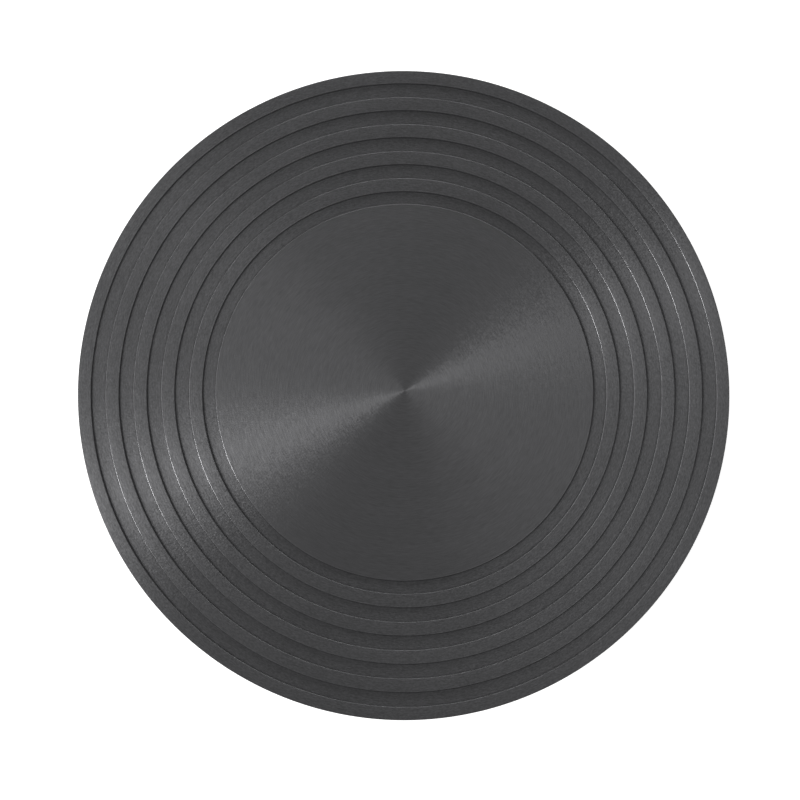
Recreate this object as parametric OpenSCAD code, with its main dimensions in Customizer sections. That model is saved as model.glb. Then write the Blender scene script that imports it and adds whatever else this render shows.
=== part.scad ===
// Banding wheel: a heavy hand-turned turntable for clay work.
//
// A turned aluminium wheel head is bolted to a hub flange on a steel spindle. The spindle runs in two
// shielded deep-groove ball bearings inside a cast-iron pedestal, which stands on four rubber feet.
// +Z is up and the spindle's axis is the Z axis. The origin is on the bench, under the spindle.
// Round parts are drawn as half sections, radius to the right and height upwards, and then revolved.

/* [Wheel head] */
// Diameter of the wheel head
head_d = 280; // [270:5:320]
// Thickness of the wheel head's plate
head_t = 9; // [8:0.5:10]
// Height of the turned-down lip, measured from the work face
lip_h = 20; // [18:1:24]
// Thickness of the lip's wall
lip_w = 6; // [5:0.5:8]
// Number of grooves turned into the work face
groove_count = 5; // [3:1:5]
// Distance from one groove to the next
groove_pitch = 11.9; // [11.5:0.05:13]
// Width of the flat land outside the outermost groove
rim_land = 5.65; // [5:0.05:7]
// Width of the grooves
groove_w = 6.1; // [5:0.1:7]
// Width of the innermost groove
inner_groove_w = 5.5; // [4:0.1:7]
// Depth of the grooves
groove_depth = 1; // [0.8:0.1:2]
// Number of ribs under the plate
head_ribs = 8; // [4:1:12]

/* [Base] */
// Height of the work face above the bench
height = 130; // [120:1:160]
// Diameter of the pedestal's foot
foot_d = 184; // [180:2:220]
// Diameter of the pedestal's column
column_d = 67; // [66:0.5:70]
// Height of the foot's ledge above the bench
ledge_h = 18; // [17:0.5:22]
// Wall thickness of the casting
wall = 7; // [6:0.5:8]
// Number of ribs inside the pedestal
pedestal_ribs = 8; // [4:4:12]
// Gap between the pedestal and the bench
foot_gap = 4; // [3:0.5:5]

/* [Fasteners] */
// Number of screws that hold the wheel head on its flange
head_screw_count = 6; // [3:1:8]
// Diameter of the circle those screws lie on
head_screw_pcd = 92; // [90:1:94]

/* [Hidden] */
$fn = 96;
fit = 0.02;          // clearance per side where one part is fitted into another
eps = 0.5;           // how far a cut runs past the face it opens
lap = 0.2;           // how far a corner piece runs into its neighbours

// Bearings, as [bore radius, outer radius, width, ball radius, ball circle radius, number of balls]
upper = [12.5, 23.5, 12, 3.37, 18, 10];
lower = [10, 21, 12, 3.17, 15.5, 9];
function bore_r(b) = b[0];
function outer_r(b) = b[1];
function width(b) = b[2];
function ball_r(b) = b[3];
function circle_r(b) = b[4];
function balls(b) = b[5];
race_play = 0.01;          // between a ball and its raceway
raceway_ratio = 1.04;      // raceway radius over ball radius
shoulder = 2.65;           // from the ball circle to either ring's shoulder
shield_step = 0.75;        // depth of the recess that holds a shield, outwards and inwards
cage_t = 0.7;
cage_half_w = 1.4;
pocket_play = 0.15;        // between a ball and its cage pocket
rivet_r = 0.55;

// Turntable, from the work face down
head_r = head_d / 2;
z_plate = height - head_t; // underside of the plate
lip_in_r = head_r - lip_w;
lip_z = height - lip_h;
groove_edge = groove_depth / 3; // radius along a groove's edges and in its corners
rim_edge = 0.5;            // radius along the work face's outer edge
boss_r = 57;               // the boss under the plate, which the flange bolts to
z_boss = z_plate - 8;
rib_h = 6;                 // ribs under the plate
rib_t = 5;
spigot_r = 30;             // the flange's spigot, which centres the wheel head
spigot_h = 2;
flange_r = 55;
z_flange = z_boss - 8;
hub_r = 22;
z_hub = z_flange - 16;
grub_z = z_hub + 9;
collar_r = 15.5;           // the spindle's collar, between the hub and the upper bearing
collar_h = 4;
journal_r = 11;            // the spindle's seat in the flange
shaft_r = 12.4;            // the spindle between its bearings
z_upper = z_hub - collar_h - width(upper); // underside of the upper bearing
z_lower = 32;              // underside of the lower bearing
z_step = z_lower + width(lower);

// Base, from the bench up
foot_r = foot_d / 2;
column_r = column_d / 2;
foot_edge = 4;             // radius along the foot's upper edge
foot_wall = 8;             // thickness of the foot's outer wall
flare_r = 46;              // the concave sweep from column to ledge, and its centre
flare_x = column_r + flare_r;
flare_z = ledge_h + flare_r;
z_column = z_hub + 5;      // top of the column
z_seal = z_hub - 0.5;      // seat of the felt seal
seal_r = 28;
ring_t = 1.75;             // retaining ring, and the groove it springs into
ring_groove_r = outer_r(upper) + 1.3;
mid_bore_r = 18.5;         // bore between the two bearing seats
wave_h = 2;                // room for the wave spring above the lower bearing
tube_r = 30;               // outside of the bearing tube, under the casting
z_tube = 9;
z_plug = z_tube + 2;
pad_circle_r = 75;         // the rubber feet: their circle, radius and top
pad_r = 11;
pad_top = foot_gap + 2;

// Fasteners: shank radius, head radius, head height, lengths
m6_r = 3;
m6_head_r = 5;
m6_head_h = 6;
m6_hole_r = 3.3;
m6_tapped_l = 13;
m6_l = 20;
spring_washer_t = 1.6;
grub_r = 2.5;
grub_l = 9;
m4_r = 2;
m4_tip_z = 12;
m16_r = 8;
nut_af = 24;               // across flats
nut_h = 8;
tab_t = 1.2;
foot_washer_z = 2.7;
foot_washer_t = 0.8;

// ---- Pieces of a half section ----

// Rectangle from radius r0 to r1 and from height z0 to z1
module span(r0, r1, z0, z1) {
    translate([r0, z0]) square([r1 - r0, z1 - z0]);
}

// What lies between a square corner at c and an arc of radius r. It reaches from the corner to the
// upper right, or is turned by a. Taken away it rounds an edge, and added it fills an inside corner.
module fillet(c, r, a) {
    translate(c) rotate(a)
        difference() {
            translate([-lap, -lap]) square(r + lap);
            translate([r, r]) circle(r = r);
        }
}

// The triangle to take away for a chamfer of leg s, placed like fillet
module chamfer(c, s, a) {
    translate(c) rotate(a) polygon([[-lap, -lap], [s + lap, -lap], [-lap, s + lap]]);
}

// Rectangle with all four corners chamfered
module chamfered_span(r0, r1, z0, z1, s) {
    difference() {
        span(r0, r1, z0, z1);
        chamfer([r0, z0], s, 0);
        chamfer([r1, z0], s, 90);
        chamfer([r1, z1], s, 180);
        chamfer([r0, z1], s, 270);
    }
}

module ring(r_in, r_out, h) {
    rotate_extrude() span(r_in, r_out, 0, h);
}

module around(n, r, start = 0) {
    for (i = [0:n - 1])
        rotate([0, 0, start + i * 360 / n]) translate([r, 0, 0]) children();
}

module hexagon(af, h) {
    cylinder(r = af / 2 / cos(30), h = h, $fn = 6);
}

// ---- Turntable ----

// Groove k of the work face, counted inwards from the rim
module groove_section(k) {
    r_out = head_r - rim_land - k * groove_pitch;
    r_in = r_out - (k == groove_count - 1 ? inner_groove_w : groove_w);
    z_floor = height - groove_depth;
    difference() {
        union() {
            span(r_in, r_out, z_floor, height + eps);
            fillet([r_in, height], groove_edge, 180);
            fillet([r_out, height], groove_edge, 270);
        }
        fillet([r_in, z_floor], groove_edge, 0);
        fillet([r_out, z_floor], groove_edge, 90);
    }
}

// Plate with its lip and its boss
module head_section() {
    difference() {
        union() {
            span(0, head_r, z_plate, height);
            span(lip_in_r, head_r, lip_z, height);
            span(0, boss_r, z_boss, height);
            fillet([boss_r, z_plate], 4, 270);
            fillet([lip_in_r, z_plate], 5, 180);
        }
        fillet([head_r, height], rim_edge, 180);
        fillet([head_r, lip_z], 2, 90);
        fillet([lip_in_r, lip_z], 2, 0);
        chamfer([boss_r, z_boss], 1, 90);
        span(-1, spigot_r + fit, z_boss - eps, z_boss + spigot_h);
        for (k = [0:groove_count - 1]) groove_section(k);
    }
}

module wheel_head() {
    color([0.2, 0.2, 0.21])
        difference() {
            union() {
                rotate_extrude() head_section();
                around(head_ribs, boss_r - 2)
                    translate([0, -rib_t / 2, z_plate - rib_h])
                        cube([lip_in_r - boss_r + 4, rib_t, rib_h + 1]);
            }
            around(head_screw_count, head_screw_pcd / 2)
                translate([0, 0, z_boss - eps]) cylinder(r = m6_r + fit, h = m6_tapped_l + eps);
        }
}

module flange_section() {
    bore = journal_r + fit;
    z_spigot = z_boss + spigot_h;
    difference() {
        union() {
            span(bore, hub_r, z_hub, z_spigot);
            chamfered_span(bore, flange_r, z_flange, z_boss, 1);
            chamfered_span(bore, spigot_r, z_flange + 2, z_spigot, 0.5);
            fillet([hub_r, z_flange], 1.5, 270);
        }
        chamfer([hub_r, z_hub], 1, 90);
        chamfer([bore, z_hub], 1, 0);
    }
}

module hub_flange() {
    color([0.32, 0.33, 0.34])
        difference() {
            rotate_extrude() flange_section();
            around(head_screw_count, head_screw_pcd / 2)
                translate([0, 0, z_flange - eps]) cylinder(r = m6_hole_r, h = z_boss - z_flange + 2 * eps);
            around(2, 0)
                translate([0, 0, grub_z]) rotate([0, 90, 0]) cylinder(r = grub_r + fit, h = hub_r + eps);
        }
}

// Socket-head cap screw with its head below z = 0 and its shank above
module cap_screw(l) {
    difference() {
        rotate_extrude()
            difference() {
                union() {
                    span(0, m6_head_r, -m6_head_h, 0);
                    span(0, m6_r, -1, l);
                }
                chamfer([m6_head_r, -m6_head_h], 0.6, 90);
                chamfer([m6_r, l], 0.8, 180);
            }
        translate([0, 0, -m6_head_h - eps]) hexagon(5, 3 + eps);
    }
}

module head_screws() {
    color([0.12, 0.12, 0.13])
        around(head_screw_count, head_screw_pcd / 2)
            translate([0, 0, z_flange - spring_washer_t]) cap_screw(m6_l);
}

// Split washers under the screw heads, cut through on a slant
module spring_washers() {
    color([0.6, 0.6, 0.58])
        around(head_screw_count, head_screw_pcd / 2)
            translate([0, 0, z_flange - spring_washer_t])
                difference() {
                    ring(m6_r + 0.15, m6_head_r + 0.3, spring_washer_t);
                    rotate([25, 0, 0]) translate([m6_r - 1, -0.4, -4]) cube([6, 0.8, 8]);
                }
}

// Stepped shaft: flange seat, collar, upper journal, waist, lower journal and threaded end
module spindle() {
    z_end = z_lower - tab_t - nut_h - 3;
    z_collar = z_upper + width(upper);
    upper_r = bore_r(upper) - fit;
    lower_r = bore_r(lower) - fit;
    color([0.75, 0.76, 0.78])
        rotate_extrude()
            difference() {
                union() {
                    span(0, m16_r, z_end, z_lower + 1);
                    span(0, lower_r, z_lower, z_step + 1);
                    span(0, shaft_r, z_step, z_upper + 1);
                    span(0, upper_r, z_upper - 2, z_collar + 1);
                    span(0, collar_r, z_collar, z_hub);
                    span(0, journal_r, z_hub - 1, z_boss + 1);
                }
                chamfer([m16_r, z_end], 1.5, 90);
                span(m16_r - 0.8, m16_r + eps, z_lower - 1, z_lower);
                chamfer([lower_r, z_lower], 0.6, 90);
                chamfer([collar_r, z_collar], 0.5, 90);
                chamfer([collar_r, z_hub], 0.5, 180);
                chamfer([journal_r, z_boss + 1], 1, 180);
            }
}

// Cone-point socket set screws that lock the flange on the spindle
module grub_screws() {
    color([0.12, 0.12, 0.13])
        around(2, journal_r + fit)
            translate([0, 0, grub_z]) rotate([0, 90, 0])
                difference() {
                    rotate_extrude()
                        polygon([[0, 0], [1.5, 0], [grub_r, 1], [grub_r, grub_l - 0.4],
                                 [grub_r - 0.4, grub_l], [0, grub_l]]);
                    translate([0, 0, grub_l - 2.5]) hexagon(2.5, 2.5 + eps);
                }
}

// Pressed cup that turns with the hub and hangs over the top of the column
module dust_cover() {
    t = 1.2;
    bend = 4;
    r_out = column_r + 3.5;
    z_web = grub_z + 3.2;
    z_skirt = z_column - 6;
    color([0.78, 0.79, 0.8])
        rotate_extrude()
            difference() {
                span(hub_r + fit, r_out, z_skirt, z_web + t);
                fillet([r_out, z_web + t], bend, 180);
                difference() {
                    span(hub_r - eps, r_out - t, z_skirt - eps, z_web);
                    fillet([r_out - t, z_web], bend - t, 180);
                }
            }
}

// ---- Bearings ----

module inner_race(b) {
    r_shoulder = circle_r(b) - shoulder;
    raceway_r = ball_r(b) * raceway_ratio;
    rotate_extrude()
        difference() {
            chamfered_span(bore_r(b), r_shoulder, 0, width(b), 0.4);
            translate([circle_r(b) - ball_r(b) - race_play + raceway_r, width(b) / 2]) circle(r = raceway_r);
        }
}

// Outer ring, with a recess at each face for a shield
module outer_race(b) {
    r_shoulder = circle_r(b) + shoulder;
    raceway_r = ball_r(b) * raceway_ratio;
    rotate_extrude()
        difference() {
            chamfered_span(r_shoulder - 0.4, outer_r(b) - fit, 0, width(b), 0.5);
            span(0, r_shoulder, -eps, width(b) + eps);
            span(0, r_shoulder + shield_step, -eps, shield_step);
            span(0, r_shoulder + shield_step, width(b) - shield_step, width(b) + eps);
            translate([circle_r(b) + ball_r(b) + race_play - raceway_r, width(b) / 2]) circle(r = raceway_r);
        }
}

// Two pressed shields, each a flat washer with a rolled bead at its rim
module shields(b) {
    t = 0.4;
    sunk = 0.2;
    r_in = circle_r(b) - shoulder + 0.2;
    r_out = circle_r(b) + shoulder + shield_step - fit;
    for (top = [0, 1])
        translate([0, 0, top * width(b)]) mirror([0, 0, top])
            rotate_extrude() {
                span(r_in, r_out, sunk, sunk + t);
                span(r_out - t, r_out, 0.05, shield_step);
            }
}

module ball_set(b) {
    around(balls(b), circle_r(b)) translate([0, 0, width(b) / 2]) sphere(r = ball_r(b));
}

// Half of a pressed ribbon cage: the upper half (side 1) or the lower half (side 0)
module cage_half(b, side) {
    pocket_r = ball_r(b) + pocket_play;
    translate([0, 0, width(b) / 2]) mirror([0, 0, 1 - side])
        difference() {
            intersection() {
                ring(circle_r(b) - cage_half_w, circle_r(b) + cage_half_w, pocket_r + cage_t);
                union() {
                    cylinder(r = outer_r(b), h = cage_t);
                    around(balls(b), circle_r(b)) sphere(r = pocket_r + cage_t);
                }
            }
            around(balls(b), circle_r(b)) sphere(r = pocket_r);
            around(balls(b), circle_r(b), 180 / balls(b))
                translate([0, 0, -eps]) cylinder(r = rivet_r + fit, h = cage_t + 2 * eps);
        }
}

// Rivets that hold the two halves of a cage together, with a cone-shaped head at each end
module cage_rivets(b) {
    cone_r = 0.95;
    cone_h = 0.4;
    around(balls(b), circle_r(b), 180 / balls(b))
        translate([0, 0, width(b) / 2])
            rotate_extrude()
                polygon([
                    [0, -cage_t - cone_h], [0.6, -cage_t - cone_h], [cone_r, -cage_t], [rivet_r, -cage_t],
                    [rivet_r, cage_t], [cone_r, cage_t], [0.6, cage_t + cone_h], [0, cage_t + cone_h]
                ]);
}

race_steel = [0.72, 0.74, 0.76];
cage_steel = [0.6, 0.58, 0.5];
ball_steel = [0.85, 0.86, 0.88];

module at_upper(c) {
    color(c) translate([0, 0, z_upper]) children();
}

module at_lower(c) {
    color(c) translate([0, 0, z_lower]) children();
}

module upper_inner_race() { at_upper(race_steel) inner_race(upper); }
module upper_outer_race() { at_upper(race_steel) outer_race(upper); }
module upper_shields() { at_upper(cage_steel) shields(upper); }
module upper_balls() { at_upper(ball_steel) ball_set(upper); }
module upper_cage_top() { at_upper(cage_steel) cage_half(upper, 1); }
module upper_cage_bottom() { at_upper(cage_steel) cage_half(upper, 0); }
module upper_cage_rivets() { at_upper(ball_steel) cage_rivets(upper); }
module lower_inner_race() { at_lower(race_steel) inner_race(lower); }
module lower_outer_race() { at_lower(race_steel) outer_race(lower); }
module lower_shields() { at_lower(cage_steel) shields(lower); }
module lower_balls() { at_lower(ball_steel) ball_set(lower); }
module lower_cage_top() { at_lower(cage_steel) cage_half(lower, 1); }
module lower_cage_bottom() { at_lower(cage_steel) cage_half(lower, 0); }
module lower_cage_rivets() { at_lower(ball_steel) cage_rivets(lower); }

// Clamped under the lower inner race, with one tab bent down along a flat of the nut
module tab_washer() {
    tab_w = 5;
    tab_l = 4;
    tab_x = nut_af / 2 + 0.05;
    color([0.6, 0.6, 0.58])
        translate([0, 0, z_lower - tab_t]) {
            ring(m16_r + 0.1, bore_r(lower) + 2.2, tab_t);
            translate([tab_x - 1, -tab_w / 2, 0]) cube([tab_t + 1, tab_w, tab_t]);
            translate([tab_x, -tab_w / 2, -tab_l]) cube([tab_t, tab_w, tab_l + tab_t]);
        }
}

// Thin hexagon nut, its corners turned off on both faces
module spindle_nut() {
    color([0.6, 0.6, 0.58])
        translate([0, 0, z_lower - tab_t - nut_h])
            intersection() {
                rotate([0, 0, 30]) hexagon(nut_af, nut_h);
                rotate_extrude()
                    chamfered_span(m16_r + fit, nut_af / 2 + 1.4, 0, nut_h, 1);
            }
}

// ---- Base ----

// Outside of the pedestal, and the bores through it: lower bearing seat, waist, upper bearing seat
// with its ring groove, and felt recess
module pedestal_section() {
    z_lower_seat = z_step + wave_h;
    difference() {
        union() {
            span(0, column_r, foot_gap, z_column);
            span(0, foot_r, foot_gap, ledge_h);
            fillet([column_r, ledge_h], flare_r, 0);
        }
        fillet([foot_r, ledge_h], foot_edge, 180);
        chamfer([foot_r, foot_gap], 1, 90);
        chamfer([column_r, z_column], 1, 180);
        span(-1, tube_r, foot_gap - eps, z_tube);
        span(-1, outer_r(lower), z_tube - eps, z_lower_seat);
        span(-1, mid_bore_r, z_lower_seat - eps, z_upper + eps);
        span(-1, outer_r(upper), z_upper, z_column + eps);
        span(-1, ring_groove_r, z_upper + width(upper), z_upper + width(upper) + ring_t);
        span(-1, seal_r, z_seal, z_column + eps);
    }
}

// The hollow under the casting. Its ceiling follows the flare at one wall's thickness.
module hollow_section() {
    z_ceiling = ledge_h - wall;
    r_out = foot_r - foot_wall;
    difference() {
        union() {
            span(tube_r, r_out, foot_gap - eps, z_ceiling);
            span(tube_r, flare_x, z_ceiling - eps, flare_z);
        }
        translate([flare_x, flare_z]) circle(r = flare_r + wall);
        fillet([r_out, z_ceiling], 3, 180);
    }
}

module pedestal() {
    rib_z = foot_gap + 3;
    color([0.16, 0.16, 0.17])
        difference() {
            rotate_extrude() pedestal_section();
            difference() {
                rotate_extrude() hollow_section();
                around(pedestal_ribs, tube_r - 3)
                    translate([0, -rib_t / 2, rib_z]) cube([foot_r - tube_r, rib_t, height]);
                around(4, pad_circle_r, 45)
                    translate([0, 0, foot_gap + 0.5]) cylinder(r = pad_r + 2, h = height);
            }
            around(4, pad_circle_r, 45) {
                translate([0, 0, foot_gap - eps]) cylinder(r = pad_r + fit, h = pad_top - foot_gap + eps);
                translate([0, 0, foot_gap]) cylinder(r = m4_r + fit, h = ledge_h - foot_gap - 4);
            }
        }
}

// Internal circlip above the upper bearing: an eccentric ring, open between two lugs with plier holes
module retaining_ring() {
    r_out = ring_groove_r - 0.1;
    lug_at = outer_r(upper) - 3.2;
    lug_a = 13;
    gap_a = 7;
    color([0.25, 0.25, 0.26])
        translate([0, 0, z_upper + width(upper)])
            difference() {
                union() {
                    difference() {
                        cylinder(r = r_out, h = ring_t);
                        translate([0.8, 0, -eps]) cylinder(r = r_out - 3, h = ring_t + 2 * eps);
                        translate([0, 0, -eps])
                            linear_extrude(ring_t + 2 * eps)
                                polygon([[0, 0], [-40, 40 * tan(gap_a)], [-40, -40 * tan(gap_a)]]);
                    }
                    for (s = [-1, 1])
                        rotate([0, 0, 180 + s * lug_a])
                            translate([lug_at, 0, 0]) cylinder(r = 2.2, h = ring_t);
                }
                for (s = [-1, 1])
                    rotate([0, 0, 180 + s * lug_a])
                        translate([lug_at, 0, -eps]) cylinder(r = 1, h = ring_t + 2 * eps);
            }
}

// Preloads both bearings. A ring of six flat sectors, each tilted the opposite way to its neighbours
// so that it makes three waves, with a short flat at every crest and trough.
module wave_spring() {
    t = 0.5;
    r_in = mid_bore_r + 0.4;
    r_out = outer_r(lower) - 0.3;
    rise = (wave_h - t) / 2 - fit;
    tilt = atan(rise / (r_out * sin(30)));
    cut = tan(29);
    flat_w = 1.8;
    color([0.6, 0.6, 0.58])
        translate([0, 0, z_step + wave_h / 2])
            for (i = [0:5]) {
                s = i % 2 == 0 ? 1 : -1;
                rotate([0, 0, i * 60])
                    intersection() {
                        rotate([s * tilt, 0, 0]) translate([0, 0, -t / 2]) ring(r_in, r_out, t);
                        translate([0, 0, -wave_h])
                            linear_extrude(2 * wave_h) polygon([[0, 0], [40, -40 * cut], [40, 40 * cut]]);
                    }
                rotate([0, 0, i * 60 + 30])
                    translate([r_in + 0.1, -flat_w / 2, s * rise - t / 2])
                        cube([r_out - r_in - 0.2, flat_w, t]);
            }
}

module felt_seal() {
    color([0.85, 0.83, 0.76])
        rotate_extrude() chamfered_span(hub_r + 0.05, seal_r - fit, z_seal, z_column - 0.5, 0.4);
}

// Pressed cup that closes the bearing tube from below
module bottom_plug() {
    t = 1.2;
    h = 7;
    bend = 2.5;
    r = outer_r(lower) - fit;
    color([0.6, 0.6, 0.58])
        rotate_extrude()
            difference() {
                span(0, r, z_plug, z_plug + h);
                fillet([r, z_plug], bend, 90);
                difference() {
                    span(-1, r - t, z_plug + t, z_plug + h + eps);
                    fillet([r - t, z_plug + t], bend - t, 90);
                }
            }
}

// Rubber ring feet, each seated in the pedestal and recessed below for its washer and screw
module rubber_feet() {
    recess_r = 5;
    color([0.06, 0.06, 0.06])
        around(4, pad_circle_r, 45)
            rotate_extrude()
                difference() {
                    span(0, pad_r, 0, pad_top);
                    chamfer([pad_r, 0], 1.5, 90);
                    chamfer([pad_r, pad_top], 0.4, 180);
                    span(-1, m4_r + 0.3, -eps, pad_top + eps);
                    span(-1, recess_r, -eps, foot_washer_z + foot_washer_t);
                }
}

module foot_washers() {
    color([0.6, 0.6, 0.58])
        around(4, pad_circle_r, 45)
            translate([0, 0, foot_washer_z]) ring(m4_r + 0.2, 4.95, foot_washer_t);
}

// Cross-slotted pan-head screws
module foot_screws() {
    pan_r = 3.5;
    pan_z = 0.6;
    color([0.6, 0.6, 0.58])
        around(4, pad_circle_r, 45)
            difference() {
                rotate_extrude()
                    difference() {
                        union() {
                            span(0, pan_r, pan_z, foot_washer_z);
                            span(0, m4_r, pan_z + 1, m4_tip_z);
                        }
                        fillet([pan_r, pan_z], 1.2, 90);
                        chamfer([m4_r, m4_tip_z], 0.6, 180);
                    }
                for (a = [0, 90])
                    rotate([0, 0, a]) translate([-1.8, -0.4, pan_z - eps]) cube([3.6, 0.8, 1.1 + eps]);
            }
}

wheel_head();
hub_flange();
head_screws();
spring_washers();
spindle();
grub_screws();
dust_cover();
upper_inner_race();
lower_inner_race();
tab_washer();
spindle_nut();
upper_balls();
upper_cage_top();
upper_cage_bottom();
upper_cage_rivets();
lower_balls();
lower_cage_top();
lower_cage_bottom();
lower_cage_rivets();
pedestal();
upper_outer_race();
upper_shields();
lower_outer_race();
lower_shields();
retaining_ring();
wave_spring();
felt_seal();
bottom_plug();
rubber_feet();
foot_washers();
foot_screws();
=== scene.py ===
"""Banding wheel: looks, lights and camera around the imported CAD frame.

Lengths are in millimetres and angles in degrees, and MM turns millimetres into Blender's metres.
The pieces that show are rebuilt here as finer meshes, in the places their CAD nodes hold.
The rest stay as CAD nodes and get new materials.
"""

import math

import bmesh
import bpy
from mathutils import Matrix, Vector, noise


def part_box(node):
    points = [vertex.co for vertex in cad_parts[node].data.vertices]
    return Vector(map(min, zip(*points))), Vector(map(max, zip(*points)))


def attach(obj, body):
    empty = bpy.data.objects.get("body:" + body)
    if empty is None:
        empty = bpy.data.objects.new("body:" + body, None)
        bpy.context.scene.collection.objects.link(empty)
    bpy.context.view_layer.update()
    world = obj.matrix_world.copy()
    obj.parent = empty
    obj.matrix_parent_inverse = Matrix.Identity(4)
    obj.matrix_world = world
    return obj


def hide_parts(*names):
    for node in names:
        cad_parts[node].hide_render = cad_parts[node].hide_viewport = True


MM = 0.001
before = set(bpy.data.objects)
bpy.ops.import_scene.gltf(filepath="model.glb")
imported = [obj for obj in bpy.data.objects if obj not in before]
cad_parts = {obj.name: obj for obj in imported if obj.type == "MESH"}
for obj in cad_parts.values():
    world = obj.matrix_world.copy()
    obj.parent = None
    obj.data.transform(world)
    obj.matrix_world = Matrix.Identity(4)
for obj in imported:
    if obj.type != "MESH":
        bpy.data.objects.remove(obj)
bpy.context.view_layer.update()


# ---- Sizes: heights and outer radii come from the frame, the rest are part.scad's own values ----

def low_z(node):
    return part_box(node)[0].z / MM


def high_z(node):
    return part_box(node)[1].z / MM


def outer_r(node):
    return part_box(node)[1].x / MM


# Clearance per side in a close fit, and how far a cut runs past the face it opens
FIT = 0.02
CUT_PAST = 1

# Wheel head: its plate, lip, boss, the bore for the flange's spigot, and the ribs
HEAD_R = outer_r("wheel_head")
HEAD_T = 9
TOP_Z = high_z("wheel_head")
PLATE_Z = TOP_Z - HEAD_T
LIP_Z = low_z("wheel_head")
LIP_W = 6
LIP_IN_R = HEAD_R - LIP_W
BOSS_R = 57
BOSS_H = 8
BOSS_Z = PLATE_Z - BOSS_H
SPIGOT_BORE_R = 30 + FIT
SPIGOT_TOP_Z = high_z("hub_flange")
HEAD_RIBS = 8
HEAD_RIB_H = 6
HEAD_RIB_Z = PLATE_Z - HEAD_RIB_H
RIB_W = 5
RIB_ROUND = 1.2

# The flange's hub, which the dust cover and the felt ring go round
HUB_R = 22

# Grooves of the work face, counted from the rim, and the radii along the edges
GROOVES = 5
GROOVE_PITCH = 11.9
RIM_LAND = 5.65
GROOVE_W = 6.1
INNER_GROOVE_W = 5.5
CENTRE_R = HEAD_R - RIM_LAND - (GROOVES - 1) * GROOVE_PITCH - INNER_GROOVE_W
GROOVE_DEPTH = 1
GROOVE_EDGE = GROOVE_DEPTH / 3
RIM_EDGE = 0.5

# Cap screws that hold the wheel head, and their tapped holes
SCREWS = 6
SCREW_CIRCLE_R = 46
SCREW_R = 3
SCREW_HEAD_R = 5
SCREW_HEAD_H = 6
SCREW_Z = low_z("head_screws")
SCREW_TIP_Z = high_z("head_screws")
SCREW_HOLE_R = SCREW_R + FIT
SCREW_HOLE_DEPTH = 13
SCREW_HOLE_Z = BOSS_Z + SCREW_HOLE_DEPTH

# Pedestal: foot, column and the flare between them, then the bores from the bottom up, then the ribs
FOOT_R = outer_r("pedestal")
FOOT_Z = low_z("pedestal")
FOOT_EDGE = 4
FOOT_WALL = 8
COLUMN_Z = high_z("pedestal")
COLUMN_R = 33.5
LEDGE_Z = 18
FLARE_R = 46
FLARE_CENTRE = (COLUMN_R + FLARE_R, LEDGE_Z + FLARE_R)
WALL = 7
HOLLOW_R = FOOT_R - FOOT_WALL
TUBE_R = 30
TUBE_Z = 9
LOWER_BORE_R = 21
WAVE_SPRING_ROOM = 2
LOWER_SEAT_Z = high_z("lower_outer_race") + WAVE_SPRING_ROOM
MID_BORE_R = 18.5
UPPER_BORE_R = 23.5
UPPER_SEAT_Z = low_z("upper_outer_race")
RING_GROOVE_R = 24.8
RING_LOW_Z = low_z("retaining_ring")
RING_HIGH_Z = high_z("retaining_ring")
SEAL_R = 28
SEAL_Z = low_z("felt_seal")
CASTING_RIBS = 8
CASTING_RIB_Z = FOOT_Z + 3

# Rubber feet
PADS = 4
PAD_CIRCLE_R = 75
PAD_R = 11
PAD_Z = high_z("rubber_feet")
PAD_SCREW_R = 2 + FIT
PAD_SCREW_Z = LEDGE_Z - 4


# ---- Outlines ----

def rounded(corners):
    """Closed outline through corners (r, z, radius), each turned with an arc of its radius."""
    sag = 0.01
    widest_step = math.radians(20)
    count = len(corners)
    points = []
    for i, (r, z, radius) in enumerate(corners):
        here = Vector((r, z))
        if radius <= 0:
            points.append(here)
            continue
        back = (Vector(corners[i - 1][:2]) - here).normalized()
        ahead = (Vector(corners[(i + 1) % count][:2]) - here).normalized()
        half = back.angle(ahead) / 2
        reach = radius / math.tan(half)
        centre = here + (back + ahead).normalized() * (radius / math.sin(half))
        start = here + back * reach - centre
        end = here + ahead * reach - centre
        sweep = math.atan2(start.x * end.y - start.y * end.x, start.dot(end))
        step = min(widest_step, 2 * math.acos(1 - sag / max(radius, 2 * sag)))
        steps = max(3, math.ceil(abs(sweep) / step))
        points += [centre + Matrix.Rotation(sweep * k / steps, 2) @ start for k in range(steps + 1)]
    return [(p.x, p.y) for p in points]


def arc(centre, radius, first, last, steps):
    """Corners (r, z, 0) along an arc, from one angle to another."""
    corners = []
    for k in range(steps + 1):
        a = math.radians(first + (last - first) * k / steps)
        corners.append((centre[0] + radius * math.cos(a), centre[1] + radius * math.sin(a), 0))
    return corners


def on_circle(count, radius, start=0):
    """(x, y) of places spread evenly round a circle."""
    angles = [math.radians(start + 360 * i / count) for i in range(count)]
    return [(radius * math.cos(a), radius * math.sin(a)) for a in angles]


def turns(count):
    """Rotations about the spindle's axis, spread evenly round a circle."""
    return [Matrix.Rotation(math.radians(360 * i / count), 3, "Z") for i in range(count)]


def screw_places():
    return on_circle(SCREWS, SCREW_CIRCLE_R)


def pad_places():
    return on_circle(PADS, PAD_CIRCLE_R, 45)


# ---- Meshes ----

def join_rings(bm, a, b):
    """Faces between two rings of vertices, either of which may be a single pole."""
    count = max(len(a), len(b))
    for s in range(count):
        t = (s + 1) % count
        if len(a) == 1:
            bm.faces.new((a[0], b[s], b[t]))
        elif len(b) == 1:
            bm.faces.new((a[s], b[0], a[t]))
        else:
            bm.faces.new((a[s], b[s], b[t], a[t]))


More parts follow.
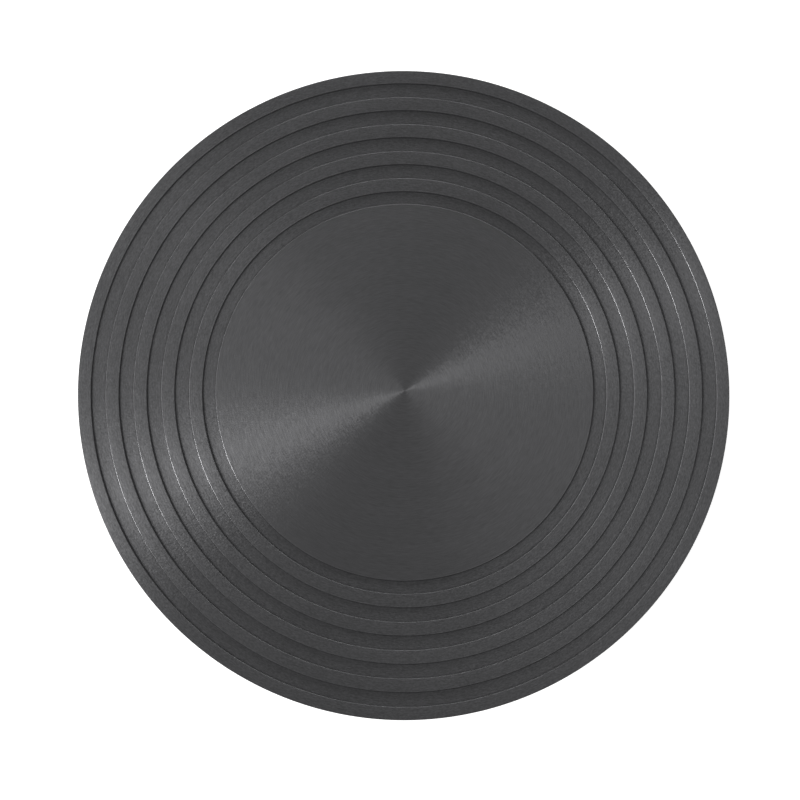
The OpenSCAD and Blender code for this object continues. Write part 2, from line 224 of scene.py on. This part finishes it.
def lathe(bm, outline, segments, centre=(0, 0), solid=False):
    """Turns an outline of (r, z) points about a vertical axis. A solid one starts and ends on the axis."""
    on_axis = 0.001
    rings = []
    for r, z in outline:
        if r < on_axis:
            rings.append([bm.verts.new(Vector((*centre, z)) * MM)])
            continue
        places = on_circle(segments, r)
        rings.append([bm.verts.new(Vector((centre[0] + x, centre[1] + y, z)) * MM) for x, y in places])
    for a, b in zip(rings, rings[1:]):
        join_rings(bm, a, b)
    if not solid:
        join_rings(bm, rings[-1], rings[0])


def prism(bm, outline, place):
    """Straight solid: outline is (u, v) points, and place(u, v, end) gives their spots at ends 0 and 1."""
    near, far = ([bm.verts.new(place(u, v, end) * MM) for u, v in outline] for end in (0, 1))
    join_rings(bm, near, far)
    bm.faces.new(near)
    bm.faces.new(far)


def to_object(name, bm):
    """Object made of bm, which is used up."""
    bmesh.ops.recalc_face_normals(bm, faces=bm.faces)
    mesh = bpy.data.meshes.new(name)
    bm.to_mesh(mesh)
    bm.free()
    thing = bpy.data.objects.new(name, mesh)
    bpy.context.scene.collection.objects.link(thing)
    return thing


def combine(thing, operation, bm):
    """Adds bm's closed shapes to thing, or cuts them out of it."""
    tool = to_object("tool", bm)
    modifier = thing.modifiers.new("combine", "BOOLEAN")
    modifier.operation = operation
    modifier.solver = "EXACT"
    modifier.use_self = operation == "UNION"
    modifier.object = tool
    graph = bpy.context.evaluated_depsgraph_get()
    result = bpy.data.meshes.new_from_object(thing.evaluated_get(graph))
    thing.modifiers.clear()
    thing.data = result
    bpy.data.objects.remove(tool)


def shade(thing, sharp=32):
    """Smooth shading that breaks at edges sharper than an angle."""
    bm = bmesh.new()
    bm.from_mesh(thing.data)
    bmesh.ops.remove_doubles(bm, verts=bm.verts, dist=0.001 * MM)
    for face in bm.faces:
        face.smooth = True
    for edge in bm.edges:
        edge.smooth = len(edge.link_faces) == 2 and edge.calc_face_angle(0) < math.radians(sharp)
    bm.to_mesh(thing.data)
    bm.free()


# ---- Wheel head ----

def head_outline():
    """Half section, from the middle of the work face outwards and back underneath."""
    floor_z = TOP_Z - GROOVE_DEPTH
    corners = [(0, TOP_Z, 0)]
    for k in reversed(range(GROOVES)):
        outer = HEAD_R - RIM_LAND - k * GROOVE_PITCH
        inner = outer - (INNER_GROOVE_W if k == GROOVES - 1 else GROOVE_W)
        corners += [(inner, TOP_Z, GROOVE_EDGE), (inner, floor_z, GROOVE_EDGE)]
        corners += [(outer, floor_z, GROOVE_EDGE), (outer, TOP_Z, GROOVE_EDGE)]
    corners += [
        (HEAD_R, TOP_Z, RIM_EDGE), (HEAD_R, LIP_Z, 2), (LIP_IN_R, LIP_Z, 2), (LIP_IN_R, PLATE_Z, 5),
        (BOSS_R, PLATE_Z, 4), (BOSS_R, BOSS_Z, 1), (SPIGOT_BORE_R, BOSS_Z, 0.2),
        (SPIGOT_BORE_R, SPIGOT_TOP_Z, 0), (0, SPIGOT_TOP_Z, 0),
    ]
    return rounded(corners)


def head_rib_section():
    """Cast rib across its length as (sideways, z): rounded below, and flared where it meets the plate."""
    half = RIB_W / 2
    flare = 2
    splay = 0.1
    sunk = 1
    side = [
        (half + flare + splay, PLATE_Z + sunk, 0), (half + flare, PLATE_Z, 0),
        (half, PLATE_Z, flare), (half, HEAD_RIB_Z, RIB_ROUND),
    ]
    return rounded(side + [(-u, z, radius) for u, z, radius in reversed(side)])


def make_wheel_head():
    bm = bmesh.new()
    lathe(bm, head_outline(), segments=320, solid=True)
    head = to_object("grooved_wheel_head", bm)
    overlap = 2
    ends = (BOSS_R - overlap, LIP_IN_R + overlap)
    ribs = bmesh.new()
    for turn in turns(HEAD_RIBS):
        prism(ribs, head_rib_section(), lambda u, v, end: turn @ Vector((ends[end], u, v)))
    combine(head, "UNION", ribs)
    low = BOSS_Z - CUT_PAST
    hole = [(0, low), (SCREW_HOLE_R, low), (SCREW_HOLE_R, SCREW_HOLE_Z), (0, SCREW_HOLE_Z)]
    holes = bmesh.new()
    for place in screw_places():
        lathe(holes, hole, segments=48, centre=place, solid=True)
    combine(head, "DIFFERENCE", holes)
    shade(head)
    return head


# ---- Pedestal casting ----

def casting_outline():
    """Half section, from the top of the column down its outside, under the foot and up through the bores."""
    roof_r = TUBE_R + 1.5
    roof_angle = 180 + math.degrees(math.acos((FLARE_CENTRE[0] - roof_r) / (FLARE_R + WALL)))
    roof_z = FLARE_CENTRE[1] + (FLARE_R + WALL) * math.sin(math.radians(roof_angle))
    corners = [(SEAL_R, COLUMN_Z, 0.5), (COLUMN_R, COLUMN_Z, 1.2)]
    corners += arc(FLARE_CENTRE, FLARE_R, 180, 270, 26)
    corners += [
        (FOOT_R, LEDGE_Z, FOOT_EDGE), (FOOT_R, FOOT_Z, 1), (HOLLOW_R, FOOT_Z, 0.6),
        (HOLLOW_R, LEDGE_Z - WALL, 3),
    ]
    corners += arc(FLARE_CENTRE, FLARE_R + WALL, 270, roof_angle, 22)
    corners += [
        (TUBE_R, roof_z, 0), (TUBE_R, TUBE_Z, 0.8), (LOWER_BORE_R, TUBE_Z, 0.6),
        (LOWER_BORE_R, LOWER_SEAT_Z, 0.2), (MID_BORE_R, LOWER_SEAT_Z, 0.5),
        (MID_BORE_R, UPPER_SEAT_Z, 0.5), (UPPER_BORE_R, UPPER_SEAT_Z, 0.2),
        (UPPER_BORE_R, RING_LOW_Z, 0), (RING_GROOVE_R, RING_LOW_Z, 0),
        (RING_GROOVE_R, RING_HIGH_Z, 0), (UPPER_BORE_R, RING_HIGH_Z, 0),
        (UPPER_BORE_R, SEAL_Z, 0.3), (SEAL_R, SEAL_Z, 0.2),
    ]
    return rounded(corners)


def casting_rib_outline():
    """Side of a rib in the hollow as (r, z): its top runs in the middle of the casting's wall."""
    inner = TUBE_R - 2
    outer = FOOT_R - 3
    top = arc(FLARE_CENTRE, FLARE_R + WALL / 2, 270, 196, 16)
    corners = [(outer, CASTING_RIB_Z, 0), (outer, LEDGE_Z - WALL / 2, 0)] + top
    corners += [(inner, top[-1][1], 0), (inner, CASTING_RIB_Z, 0)]
    return [(r, z) for r, z, _ in corners]


def add_casting_ribs(bm):
    """Ribs between the tube and the foot's wall, with their lower edges rounded."""
    for turn in turns(CASTING_RIBS):
        prism(bm, casting_rib_outline(), lambda u, v, end: turn @ Vector((u, (end - 0.5) * RIB_W, v)))
    bmesh.ops.recalc_face_normals(bm, faces=bm.faces)
    low_edges = [e for e in bm.edges if max(v.co.z for v in e.verts) < (CASTING_RIB_Z + 0.1) * MM]
    bmesh.ops.bevel(bm, geom=low_edges, offset=RIB_ROUND * MM, segments=3, profile=0.5, affect="EDGES")


def add_pad_bosses(bm):
    """Round bosses for the rubber feet, whose tops end in the casting's wall."""
    radius = PAD_R + 2
    low = FOOT_Z + 0.5
    high = LEDGE_Z - WALL / 2
    outline = rounded([(0, low, 0), (radius, low, 0.5), (radius, high, 0), (0, high, 0)])
    for place in pad_places():
        lathe(bm, outline, segments=64, centre=place, solid=True)


def add_pad_seats(bm):
    """What is cut away for each rubber foot and its screw."""
    low = FOOT_Z - CUT_PAST
    seat_r = PAD_R + FIT
    outline = [
        (0, low), (seat_r, low), (seat_r, PAD_Z), (PAD_SCREW_R, PAD_Z), (PAD_SCREW_R, PAD_SCREW_Z),
        (0, PAD_SCREW_Z),
    ]
    for place in pad_places():
        lathe(bm, outline, segments=64, centre=place, solid=True)


def make_casting():
    bm = bmesh.new()
    lathe(bm, casting_outline(), segments=256)
    casting = to_object("pedestal_casting", bm)
    added = bmesh.new()
    add_casting_ribs(added)
    add_pad_bosses(added)
    combine(casting, "UNION", added)
    cuts = bmesh.new()
    add_pad_seats(cuts)
    combine(casting, "DIFFERENCE", cuts)
    shade(casting)
    return casting


# ---- Smaller pieces ----

def make_dust_cup():
    """Pressed cup: one sheet's thickness all round its bend."""
    low = low_z("dust_cover")
    high = high_z("dust_cover")
    outer = outer_r("dust_cover")
    inner = HUB_R + FIT
    sheet = 1.2
    bend = 4
    outline = rounded([
        (inner, high, 0.3), (outer, high, bend), (outer, low, 0.4), (outer - sheet, low, 0.4),
        (outer - sheet, high - sheet, bend - sheet), (inner, high - sheet, 0.3),
    ])
    bm = bmesh.new()
    lathe(bm, outline, segments=192)
    cup = to_object("pressed_dust_cup", bm)
    shade(cup)
    return cup


def screw_outline():
    """Half section of a cap screw, from its head up to its tip, with turned grooves for the thread."""
    thread_pitch = 1
    thread_depth = 0.5
    plain_tip = 1
    head_top = SCREW_Z + SCREW_HEAD_H
    grooves = int((SCREW_TIP_Z - plain_tip - BOSS_Z) / thread_pitch)
    corners = [
        (0, SCREW_Z, 0), (SCREW_HEAD_R, SCREW_Z, 0.6), (SCREW_HEAD_R, head_top, 0.2),
        (SCREW_R, head_top, 0),
    ]
    for k in range(grooves):
        z = BOSS_Z + k * thread_pitch
        corners += [(SCREW_R, z, 0), (SCREW_R - thread_depth, z + thread_pitch / 2, 0)]
    corners += [(SCREW_R, BOSS_Z + grooves * thread_pitch, 0), (SCREW_R, SCREW_TIP_Z, 0.5)]
    corners.append((0, SCREW_TIP_Z, 0))
    return rounded(corners)


def knurl(bm, place, knurls):
    """Presses a screw head's widest vertices inwards between its knurls."""
    depth = 0.18
    axis = Vector((*place, 0)) * MM
    for vert in bm.verts:
        out = (vert.co - axis) * Vector((1, 1, 0))
        if abs(out.length - SCREW_HEAD_R * MM) > 0.01 * MM:
            continue
        turn = math.degrees(math.atan2(out.y, out.x)) * knurls / 360
        if abs(turn - round(turn)) > 0.25:
            vert.co -= out.normalized() * depth * MM


def make_screws():
    """Socket-head cap screws, with knurled heads and hexagon sockets."""
    knurls = 36
    socket_flats = 5
    socket_depth = 3
    bm = bmesh.new()
    for place in screw_places():
        lathe(bm, screw_outline(), segments=2 * knurls, centre=place, solid=True)
        knurl(bm, place, knurls)
    screws = to_object("socket_head_screws", bm)
    hexagon = on_circle(6, socket_flats / math.sqrt(3))
    ends = (SCREW_Z - CUT_PAST, SCREW_Z + socket_depth)
    sockets = bmesh.new()
    for x, y in screw_places():
        prism(sockets, hexagon, lambda u, v, end: Vector((x + u, y + v, ends[end])))
    combine(screws, "DIFFERENCE", sockets)
    shade(screws, sharp=40)
    return screws


def make_rubber_feet():
    """Moulded ring feet, each recessed below for its washer and screw."""
    recess_r = 5
    recess_z = 3.5
    hole_r = 2.3
    outline = rounded([
        (hole_r, PAD_Z, 0.3), (PAD_R, PAD_Z, 0.5), (PAD_R, 0, 1.4), (recess_r, 0, 0.6),
        (recess_r, recess_z, 0.4), (hole_r, recess_z, 0.3),
    ])
    bm = bmesh.new()
    for place in pad_places():
        lathe(bm, outline, segments=72, centre=place)
    feet = to_object("rubber_ring_feet", bm)
    shade(feet)
    return feet


def make_felt():
    """Pressed felt ring with a soft, uneven skin that stays inside its seat."""
    fuzz = 0.12
    fuzz_size = 0.8
    gap = 0.1
    corner_r = 0.6
    inner = HUB_R + gap + fuzz
    outer = SEAL_R - gap - fuzz
    low = low_z("felt_seal") + fuzz
    high = high_z("felt_seal") - fuzz
    steps = 6
    sides = [(inner, high), (outer, high), (outer, low), (inner, low)]
    corners = []
    for (r0, z0), (r1, z1) in zip(sides, sides[1:] + sides[:1]):
        corners.append((r0, z0, corner_r))
        corners += [(r0 + (r1 - r0) * k / steps, z0 + (z1 - z0) * k / steps, 0) for k in range(1, steps)]
    bm = bmesh.new()
    lathe(bm, rounded(corners), segments=320)
    bmesh.ops.recalc_face_normals(bm, faces=bm.faces)
    bm.normal_update()
    for vert in bm.verts:
        vert.co += vert.normal * noise.noise(vert.co / (fuzz_size * MM)) * fuzz * MM
    felt = to_object("felt_ring", bm)
    shade(felt, sharp=180)
    return felt


# ---- Materials ----

class Nodes:
    """A material's node tree, with short calls that add to it."""

    def __init__(self, name):
        self.material = bpy.data.materials.new(name)
        self.material.use_nodes = True
        self.tree = self.material.node_tree
        self.bsdf = self.tree.nodes["Principled BSDF"]

    def put(self, socket, value):
        """Links another node's output to a socket, or gives the socket a fixed value."""
        if isinstance(value, bpy.types.NodeSocket):
            self.tree.links.new(value, socket)
        else:
            socket.default_value = value

    def add(self, kind, inputs, **settings):
        """New node with some of its input sockets and settings filled in. Returns its outputs."""
        node = self.tree.nodes.new(kind)
        for name, value in settings.items():
            setattr(node, name, value)
        for name, value in inputs.items():
            self.put(node.inputs[name], value)
        return node.outputs

    def math(self, operation, a, b=0.0):
        return self.add("ShaderNodeMath", {0: a, 1: b}, operation=operation)[0]

    def times(self, product, *factors):
        for factor in factors:
            product = self.math("MULTIPLY", product, factor)
        return product

    def inverse(self, mask):
        """1 where a mask is 0, and 0 where it is 1."""
        return self.math("SUBTRACT", 1.0, mask)

    def remap(self, value, from_low, from_high, to_low=0.0, to_high=1.0):
        """Value stretched from one span to another, and held at the ends."""
        return self.add("ShaderNodeMapRange", {0: value, 1: from_low, 2: from_high, 3: to_low, 4: to_high})[0]

    def fade(self, length, start, end):
        """0 to 1 as a length in metres goes from start to end, which are in millimetres."""
        return self.remap(length, start * MM, end * MM)

    def spread(self, noise_value, low, high, middle=0.4):
        """Low to high as a noise crosses the middle part of its range."""
        return self.remap(noise_value, 0.5 - middle / 2, 0.5 + middle / 2, low, high)

    def mix(self, factor, a, b):
        """Number between a and b."""
        return self.remap(factor, 0, 1, a, b)

    def mix_colour(self, factor, a, b):
        """Colour between a and b."""
        return self.add("ShaderNodeMix", {"Factor": factor, 6: a, 7: b}, data_type="RGBA")[2]

    def grey(self, value, tint=(1, 1, 1)):
        """Colour of a brightness, tinted."""
        channels = [self.times(value, t) for t in tint]
        return self.add("ShaderNodeCombineXYZ", dict(enumerate(channels)))[0]

    def noise(self, vector, scale=1.0, detail=2.0):
        """Noise about 0.5, with scale in features per metre."""
        return self.add("ShaderNodeTexNoise", {"Vector": vector, "Scale": scale, "Detail": detail})[0]

    def bump(self, height, depth, strength=1.0):
        """Normal from a height of 0 to 1 that stands for depth in millimetres."""
        return self.add("ShaderNodeBump", {"Height": height, "Distance": depth * MM, "Strength": strength})[0]

    def set(self, **values):
        """Fills in inputs of the surface shader, named with _ for each space."""
        for name, value in values.items():
            self.put(self.bsdf.inputs[name.replace("_", " ")], value)

    def place(self):
        """(whole position, x, y, z, radius from the spindle's axis), in metres."""
        where = self.add("ShaderNodeTexCoord", {})["Object"]
        x, y, z = self.add("ShaderNodeSeparateXYZ", {0: where})
        square = self.math("ADD", self.times(x, x), self.times(y, y))
        return where, x, y, z, self.math("SQRT", square)

    def turned(self, along, across):
        """Vector whose noise makes tool marks round the axis: features per metre along and across them."""
        _, x, y, z, r = self.place()
        over = self.times(self.math("ADD", r, z), across)
        channels = {0: self.times(x, along), 1: self.times(y, along), 2: over}
        return self.add("ShaderNodeCombineXYZ", channels)[0]

    def round_axis(self):
        """Tangent that runs round the spindle's axis, as tool marks do."""
        return self.add("ShaderNodeTangent", {}, direction_type="RADIAL", axis="Z")[0]

    def edges(self, radius):
        """1 along edges sharper than a radius in millimetres, 0 away from them."""
        soft = self.add("ShaderNodeBevel", {"Radius": radius * MM}, samples=4)[0]
        sharp = self.add("ShaderNodeNewGeometry", {})["Normal"]
        likeness = self.add("ShaderNodeVectorMath", {0: soft, 1: sharp}, operation="DOT_PRODUCT")["Value"]
        return self.remap(likeness, 0.995, 0.9)


def head_zones(n):
    """Masks for the wheel head: outside its centre disc, as cast, and a groove's lip, side and floor."""
    _, _, _, z, r = n.place()
    facing_up = n.add("ShaderNodeSeparateXYZ", {0: n.add("ShaderNodeNewGeometry", {})["Normal"]})[2]
    within_rim = n.fade(r, HEAD_R - 2, HEAD_R - 3)
    above_plate = n.fade(z, PLATE_Z + 1, PLATE_Z + 2)
    near_top = n.fade(z, TOP_Z - GROOVE_EDGE - 0.05, TOP_Z - GROOVE_EDGE)
    sunk = n.fade(z, TOP_Z - 0.4 * GROOVE_DEPTH, TOP_Z - 0.6 * GROOVE_DEPTH)
    steep = n.times(n.remap(facing_up, 0.99, 0.95), within_rim)

    outside_centre = n.fade(r, CENTRE_R - 1, CENTRE_R + 1)
    as_cast = n.times(n.fade(z, PLATE_Z + 1, PLATE_Z + 0.5), n.fade(r, LIP_IN_R + 1, LIP_IN_R + 0.5))
    lip = n.times(steep, near_top)
    side = n.times(n.math("SUBTRACT", steep, lip), above_plate)
    floor = n.times(n.inverse(steep), above_plate, sunk, within_rim)
    return outside_centre, as_cast, lip, side, floor


def head_material():
    """Dark anodised aluminium: turned and satin above, mottled in the grooves, as cast underneath. The groove
    walls carry painted shade, and the groove lips carry a painted highlight in their lighter colour.
    """
    n = Nodes("dark_anodised_aluminium")
    outside_centre, as_cast, groove_lip, painted_shade_side, groove_floor = head_zones(n)
    where = n.place()[0]

    streak = n.noise(n.turned(along=250, across=3000))
    band = n.noise(n.turned(along=6, across=160), detail=3)
    waver = n.noise(n.turned(along=550, across=2200), detail=1)
    stipple = n.noise(n.turned(along=800, across=2000), detail=1)
    mottle = n.noise(where, 1400, detail=3)
    grain = n.noise(where, 1200, detail=1)
    cloud = n.noise(where, 22, detail=3)

    tone = n.times(
        n.spread(streak, 0.082, 0.104, middle=0.5),
        n.spread(band, 0.98, 1.02),
        n.spread(cloud, 0.97, 1.03),
        n.mix(outside_centre, 1.0, n.spread(stipple, 0.82, 1.18)),
        n.mix(groove_floor, 1.0, n.spread(mottle, 0.88, 0.95)),
        n.mix(as_cast, 1.0, n.spread(mottle, 0.8, 1.05)),
        # Painted shade: the groove walls are darkened to stand in for the shade that falls on them.
        n.mix(painted_shade_side, 1.0, 0.6),
        # Painted highlight: the groove lips are lightened so that the light they catch shows brighter.
        n.mix(groove_lip, 1.0, 1.45),
    )
    rough = n.spread(streak, 0.58, 0.46, middle=0.5)
    rough = n.math("ADD", rough, n.mix(as_cast, n.times(groove_floor, -0.02), 0.06))
    rough = n.mix(groove_lip, rough, 0.19)
    brushed = n.inverse(n.math("MAXIMUM", as_cast, groove_lip))
    tooled = n.math("ADD", n.times(streak, 0.2), n.times(grain, n.mix(outside_centre, 0.3, 0.5)))
    height = n.mix(as_cast, tooled, mottle)
    n.set(
        Base_Color=n.grey(tone, (1.0, 1.0, 1.035)),
        Metallic=0.7,
        Roughness=rough,
        Anisotropic=n.times(brushed, 0.89),
        Anisotropic_Rotation=n.spread(waver, 0.23, 0.27, middle=0.5),
        Tangent=n.round_axis(),
        Normal=n.bump(height, 0.12, n.inverse(groove_lip)),
    )
    return n.material


def turned_metal(name, colour, rough, line_depth, line_contrast=0.06):
    """Bare metal turned or ground about the spindle's axis, brighter along its edges."""
    n = Nodes(name)
    where = n.place()[0]
    line = n.noise(n.turned(along=60, across=2600), detail=3)
    smear = n.noise(where, 90, detail=4)
    tone = n.times(
        n.spread(line, 1 - line_contrast, 1 + line_contrast),
        n.spread(smear, 0.93, 1.03),
        n.mix(n.edges(0.4), 1.0, 1.12),
    )
    n.set(
        Base_Color=n.grey(tone, colour),
        Metallic=1.0,
        Roughness=n.spread(smear, rough + 0.05, rough - 0.03),
        Anisotropic=0.6,
        Anisotropic_Rotation=0.25,
        Tangent=n.round_axis(),
        Normal=n.bump(line, line_depth),
    )
    return n.material


def fine_metal(name, colour, rough, grain, grain_depth, worn=None):
    """Plated, pressed or blackened metal: fine grain, patches of sheen and, if given, a worn edge colour."""
    n = Nodes(name)
    where = n.place()[0]
    speck = n.noise(where, grain, detail=3)
    patch = n.noise(where, 120, detail=4)
    base = n.grey(n.times(n.spread(speck, 0.95, 1.05), n.spread(patch, 0.94, 1.04)), colour)
    sheen = n.spread(patch, rough + 0.06, rough - 0.04)
    if worn:
        wear = n.times(n.edges(0.35), n.remap(n.noise(where, 700, detail=2), 0.42, 0.6))
        base = n.mix_colour(wear, base, (*worn, 1))
        sheen = n.mix(wear, sheen, 0.3)
    n.set(Base_Color=base, Metallic=1.0, Roughness=sheen, Normal=n.bump(speck, grain_depth))
    return n.material


def casting_material():
    """Textured black powder coat on cast iron, rubbed grey along the foot's edge, bare iron in the bores."""
    n = Nodes("painted_cast_iron")
    where, _, _, z, r = n.place()
    grain = n.noise(where, 1500, detail=2)
    lump = n.noise(where, 300, detail=2)
    cloud = n.noise(where, 30, detail=4)
    paint = n.grey(n.times(n.spread(grain, 0.8, 1.15), n.spread(cloud, 0.85, 1.15), 0.03), (1, 1, 1.08))
    rub = n.times(
        n.edges(1.2),
        n.remap(n.noise(where, 160, detail=5), 0.5, 0.66),
        n.fade(r, FOOT_R - FOOT_WALL, FOOT_R - 3),
    )
    rubbed = n.mix_colour(rub, paint, (0.16, 0.155, 0.15, 1))
    bore = n.times(n.fade(r, SEAL_R + 0.3, SEAL_R + 0.1), n.fade(z, TUBE_Z + 0.1, TUBE_Z + 0.3))
    iron = n.grey(n.spread(n.noise(n.turned(along=40, across=2200)), 0.26, 0.32))
    height = n.math("ADD", n.times(grain, 0.6), lump)
    n.set(
        Base_Color=n.mix_colour(bore, rubbed, iron),
        Metallic=bore,
        Roughness=n.mix(bore, n.spread(cloud, 0.5, 0.42), 0.35),
        Normal=n.bump(height, 0.09),
    )
    return n.material


def rubber_material():
    """Matte moulded rubber, dusty on the tread that stands on the bench."""
    n = Nodes("black_rubber")
    where, _, _, z, _ = n.place()
    grain = n.noise(where, 2200, detail=2)
    dust = n.times(n.fade(z, 1.2, 0.1), n.remap(n.noise(where, 260, detail=4), 0.42, 0.62))
    n.set(
        Base_Color=n.grey(n.mix(dust, n.spread(grain, 0.02, 0.03), 0.09), (1, 1, 0.97)),
        Roughness=n.spread(grain, 0.6, 0.78),
        Normal=n.bump(grain, 0.05),
    )
    return n.material


def felt_material():
    """Pressed wool felt: matted fibres with a soft sheen, darkened by oil next to the hub."""
    n = Nodes("felt")
    where, _, _, _, r = n.place()
    shift = n.grey(n.noise(where, 900, detail=2), (0.002, 0.002, 0.002))
    twist = n.add("ShaderNodeVectorMath", {0: where, 1: shift}, operation="ADD")[0]
    fibre = n.noise(twist, 3200, detail=4)
    oil = n.fade(r, HUB_R + 3, HUB_R + 0.5)
    tone = n.times(n.spread(fibre, 0.72, 1.12), n.mix(oil, 1.0, 0.55))
    n.set(
        Base_Color=n.grey(tone, (0.62, 0.6, 0.52)),
        Roughness=n.mix(oil, 0.95, 0.6),
        Sheen_Weight=0.4,
        Sheen_Roughness=0.5,
        Normal=n.bump(fibre, 0.15),
    )
    return n.material


def dress(thing, material):
    thing.data.materials.clear()
    thing.data.materials.append(material)


MATERIALS = {
    "dark_anodised_aluminium": head_material(),
    "machined_steel": turned_metal("machined_steel", (0.5, 0.51, 0.52), rough=0.3, line_depth=0.03),
    "ground_steel": turned_metal(
        "ground_steel", (0.66, 0.67, 0.69), rough=0.2, line_depth=0.008, line_contrast=0.03
    ),
    "bearing_steel": turned_metal(
        "bearing_steel", (0.72, 0.73, 0.75), rough=0.14, line_depth=0.004, line_contrast=0.02
    ),
    "black_oxide_steel": fine_metal(
        "black_oxide_steel", (0.07, 0.07, 0.075), rough=0.38, grain=1800, grain_depth=0.01,
        worn=(0.35, 0.34, 0.33),
    ),
    "zinc_steel": fine_metal(
        "zinc_steel", (0.62, 0.63, 0.64), rough=0.34, grain=2600, grain_depth=0.01
    ),
    "plated_steel": turned_metal(
        "plated_steel", (0.75, 0.76, 0.78), rough=0.22, line_depth=0.006, line_contrast=0.02
    ),
    "ball_steel": fine_metal(
        "ball_steel", (0.82, 0.83, 0.85), rough=0.07, grain=1200, grain_depth=0.0005
    ),
    "cage_steel": fine_metal(
        "cage_steel", (0.56, 0.55, 0.52), rough=0.36, grain=1500, grain_depth=0.012
    ),
    "spring_steel": fine_metal(
        "spring_steel", (0.45, 0.45, 0.46), rough=0.33, grain=2000, grain_depth=0.01,
        worn=(0.7, 0.7, 0.7),
    ),
    "painted_cast_iron": casting_material(),
    "felt": felt_material(),
    "black_rubber": rubber_material(),
}

PIECES = (
    (make_wheel_head, "turntable", "wheel_head", "dark_anodised_aluminium"),
    (make_dust_cup, "turntable", "dust_cover", "plated_steel"),
    (make_screws, "turntable", "head_screws", "black_oxide_steel"),
    (make_casting, "base", "pedestal", "painted_cast_iron"),
    (make_felt, "base", "felt_seal", "felt"),
    (make_rubber_feet, "base", "rubber_feet", "black_rubber"),
)

NODE_FINISHES = {
    "machined_steel": ("hub_flange", "spindle_nut"),
    "ground_steel": ("spindle",),
    "black_oxide_steel": ("grub_screws",),
    "zinc_steel": ("spring_washers", "tab_washer", "bottom_plug", "foot_washers", "foot_screws"),
    "bearing_steel": ("upper_inner_race", "upper_outer_race", "lower_inner_race", "lower_outer_race"),
    "ball_steel": ("upper_balls", "lower_balls", "upper_cage_rivets", "lower_cage_rivets"),
    "cage_steel": (
        "upper_cage_top", "upper_cage_bottom", "lower_cage_top", "lower_cage_bottom",
        "upper_shields", "lower_shields",
    ),
    "spring_steel": ("retaining_ring", "wave_spring"),
}

for make, body, node, finish in PIECES:
    piece = make()
    dress(piece, MATERIALS[finish])
    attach(piece, body)
    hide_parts(node)

for finish, nodes in NODE_FINISHES.items():
    for node in nodes:
        dress(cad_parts[node], MATERIALS[finish])


# ---- Floor, lights and camera ----

def make_floor():
    """Pale floor that takes soft shadows, and glows to the camera so that it meets the backdrop unseen."""
    bm = bmesh.new()
    bmesh.ops.create_circle(bm, cap_ends=True, radius=8, segments=64)
    floor = to_object("floor", bm)
    n = Nodes("pale_floor")
    _, _, _, _, r = n.place()
    near = 0.3
    far = 1.5
    glow = n.remap(r, near, far, 0.68, 0.9)
    seen = n.add("ShaderNodeLightPath", {})["Is Camera Ray"]
    emission = n.add("ShaderNodeEmission", {"Strength": n.times(seen, glow)})[0]
    diffuse = n.add("ShaderNodeBsdfDiffuse", {"Color": (0.8, 0.8, 0.8, 1)})[0]
    both = n.add("ShaderNodeAddShader", {0: diffuse, 1: emission})[0]
    n.put(n.tree.nodes["Material Output"].inputs["Surface"], both)
    dress(floor, n.material)


def make_world(light, backdrop):
    """Even light all round, and a backdrop brightness that only the camera sees."""
    world = bpy.data.worlds.new("studio")
    bpy.context.scene.world = world
    world.use_nodes = True
    tree = world.node_tree
    seen = tree.nodes.new("ShaderNodeLightPath").outputs["Is Camera Ray"]
    strength = tree.nodes.new("ShaderNodeMapRange")
    tree.links.new(seen, strength.inputs["Value"])
    strength.inputs["To Min"].default_value = light
    strength.inputs["To Max"].default_value = backdrop
    background = tree.nodes["Background"]
    background.inputs["Color"].default_value = (1, 1, 1, 1)
    tree.links.new(strength.outputs[0], background.inputs["Strength"])


def make_lamp(name, azimuth, elevation, width, height, power):
    """Rectangular soft light that faces the work face's middle: sizes in metres, power in watts."""
    distance = 1.8
    light = bpy.data.lights.new(name, "AREA")
    light.shape = "RECTANGLE"
    light.size = width
    light.size_y = height
    light.energy = power
    lamp = bpy.data.objects.new(name, light)
    lamp.visible_camera = False
    bpy.context.scene.collection.objects.link(lamp)
    a = math.radians(azimuth)
    e = math.radians(elevation)
    away = Vector((math.cos(a) * math.cos(e), math.sin(a) * math.cos(e), math.sin(e)))
    lamp.location = Vector((0, 0, TOP_Z * MM)) + away * distance
    lamp.rotation_mode = "QUATERNION"
    lamp.rotation_quaternion = away.to_track_quat("Z", "Y")


def make_camera():
    """Looks almost straight down on the work face, as the photograph does."""
    tilt = math.radians(5.05)
    towards = math.radians(256.3)
    distance = 5.8 * HEAD_R * MM
    data = bpy.data.cameras.new("camera")
    data.lens = 85.1
    data.sensor_width = 36
    data.shift_x = -0.006
    data.shift_y = -0.0116
    data.clip_start = 0.05
    data.clip_end = 50
    camera = bpy.data.objects.new("camera", data)
    bpy.context.scene.collection.objects.link(camera)
    bpy.context.scene.camera = camera
    back = Vector((math.sin(tilt) * math.cos(towards), math.sin(tilt) * math.sin(towards), math.cos(tilt)))
    up = (Vector((0, 1, 0)) - back * back.y).normalized()
    place = Matrix((up.cross(back), up, back)).transposed().to_4x4()
    place.translation = Vector((0, 0, TOP_Z * MM)) + back * distance
    camera.matrix_world = place


make_floor()
make_world(light=0.26, backdrop=1.05)
make_lamp("key", azimuth=196, elevation=40, width=0.35, height=0.8, power=18.5)
make_lamp("broad", azimuth=158, elevation=50, width=1.6, height=0.8, power=11.8)
make_lamp("fill", azimuth=330, elevation=50, width=1.6, height=0.8, power=4.6)
make_lamp("low", azimuth=80, elevation=18, width=2.4, height=0.6, power=13.5)
make_camera()

view = bpy.context.scene.view_settings
view.view_transform = "Standard"
view.look = "None"
